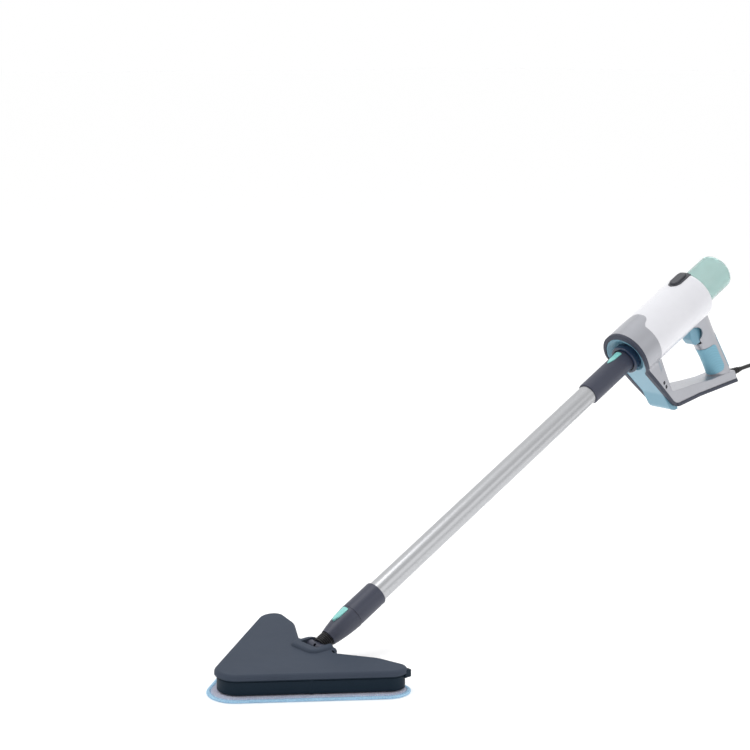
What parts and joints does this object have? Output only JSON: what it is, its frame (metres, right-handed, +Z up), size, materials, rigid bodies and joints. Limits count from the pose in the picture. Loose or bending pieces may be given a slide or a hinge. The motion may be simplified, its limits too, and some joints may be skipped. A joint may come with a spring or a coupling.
{
  "type": "steam mop",
  "caption": "Handheld steam unit with a rear water tank on an extension tube, with a swivelling triangular floor head and cloth, mains cord coiled beside it.",
  "frame": {"origin": "on the floor under the pitch axis of the head joint, at the middle of the head", "axes": "+Z up, +Y from the head towards the steam unit, +X across the head"},
  "size_m": [0.3258, 1.295, 0.5222],
  "materials": {
    "head_dark": "satin lid",
    "head_side": "matt",
    "inner_plastic": "matt",
    "cloth": "microfibre pile",
    "hem": "overlocked edge",
    "hook_tape": "hook tape",
    "steel": "zinc plated",
    "coupling": "satin",
    "tube": "satin anodised",
    "seal": "matt",
    "silicone": "matt",
    "leaf": "gloss",
    "silver": "satin silver",
    "white": "gloss",
    "light_blue": "satin",
    "slate": "soft matt",
    "navy": "satin",
    "grip": "textured",
    "grey_trim": "matt",
    "tank": "clear tinted plastic",
    "button_dark": "matt",
    "boiler_alloy": "cast",
    "element": "matt",
    "board": "printed board",
    "pump": "matt",
    "cord": "matt",
    "pins": "nickel plated"
  },
  "bodies": {
    "unit": {"left_shell": "silver", "right_shell": "silver", "barrel_cover": "white", "outlet_socket": "navy", "outlet_seal": "seal", "front_panel": "light_blue", "front_bumper": "slate", "base_bumper": "slate", "front_grip": "grip", "palm_grip": "grip", "trim_strip": "grey_trim", "body_screws": "steel", "tank_collar": "button_dark", "tank_dock": "inner_plastic", "boiler": "boiler_alloy", "heating_element": "element", "thermostat": "inner_plastic", "water_pump": "pump", "suction_hose": "silicone", "feed_hose": "silicone", "steam_pipe": "silicone", "circuit_board": "board", "microswitch": "inner_plastic", "wire_harness": "cord", "trigger_pin": "steel", "strain_relief": "cord", "trigger_spring": "steel", "tank_button_spring": "steel", "power_cord": "cord", "cord_coil": "cord", "plug_body": "cord", "plug_pins": "pins"},
    "head": {"head_top_cover": "head_dark", "head_base": "head_side", "steam_distributor": "inner_plastic", "hook_strips": "hook_tape", "cloth_catches": "head_side", "head_screws": "steel", "mop_cloth": "cloth", "cloth_hem": "hem"},
    "yoke": {"joint_yoke": "coupling", "pitch_pins": "steel", "swing_pin": "steel"},
    "neck": {"mop_neck": "coupling", "neck_seal": "seal", "neck_button_spring": "steel", "bellows": "seal"},
    "neck_button": {"neck_button": "leaf"},
    "pole": {"lower_coupling": "coupling", "extension_tube": "tube", "steam_hose": "silicone", "upper_coupling": "coupling", "pole_seal": "seal", "pole_button_spring": "steel"},
    "pole_button": {"pole_button": "leaf"},
    "trigger": {"trigger": "light_blue"},
    "tank_button": {"tank_button": "button_dark"},
    "tank": {"water_tank": "tank", "tank_cap": "inner_plastic", "tank_valve": "inner_plastic"}
  },
  "joints": [
    {"name": "pole_pull", "type": "slide", "parent": "unit", "child": "pole", "axis": [0, -0.8854, -0.4648], "range_m": [0, 0.03]},
    {"name": "neck_pull", "type": "slide", "parent": "pole", "child": "neck", "axis": [0, -0.8854, -0.4648], "range_m": [0, 0.023]},
    {"name": "side_swing", "type": "hinge", "parent": "neck", "child": "yoke", "pos_m": [0, 0.00974, 0.03511], "axis": [0, 0.4648, -0.8854], "range_deg": [-25, 25], "deforming": ["bellows"]},
    {"name": "head_pitch", "type": "hinge", "parent": "yoke", "child": "head", "pos_m": [0, 0, 0.03], "axis": [1, 0, 0], "range_deg": [-62, 14]},
    {"name": "pole_button_press", "type": "slide", "parent": "pole", "child": "pole_button", "axis": [0, 0.4648, -0.8854], "range_m": [0, 0.0022], "stiffness_N_per_m": 500, "springref_m": -0.003, "deforming": ["pole_button_spring"]},
    {"name": "neck_button_press", "type": "slide", "parent": "neck", "child": "neck_button", "axis": [0, 0.4648, -0.8854], "range_m": [0, 0.0022], "stiffness_N_per_m": 500, "springref_m": -0.003, "deforming": ["neck_button_spring"]},
    {"name": "trigger_squeeze", "type": "hinge", "parent": "unit", "child": "trigger", "pos_m": [0, 0.8269, 0.41263], "axis": [1, 0, 0], "range_deg": [0, 12], "stiffness_Nm_per_rad": 0.3, "springref_deg": -14.32, "deforming": ["trigger_spring"]},
    {"name": "tank_button_press", "type": "slide", "parent": "unit", "child": "tank_button", "axis": [0, 0.4648, -0.8854], "range_m": [0, 0.0025], "stiffness_N_per_m": 600, "springref_m": -0.003, "deforming": ["tank_button_spring"]},
    {"name": "tank_pull", "type": "slide", "parent": "unit", "child": "tank", "axis": [0, 0.8854, 0.4648], "range_m": [0, 0.06]}
  ]
}
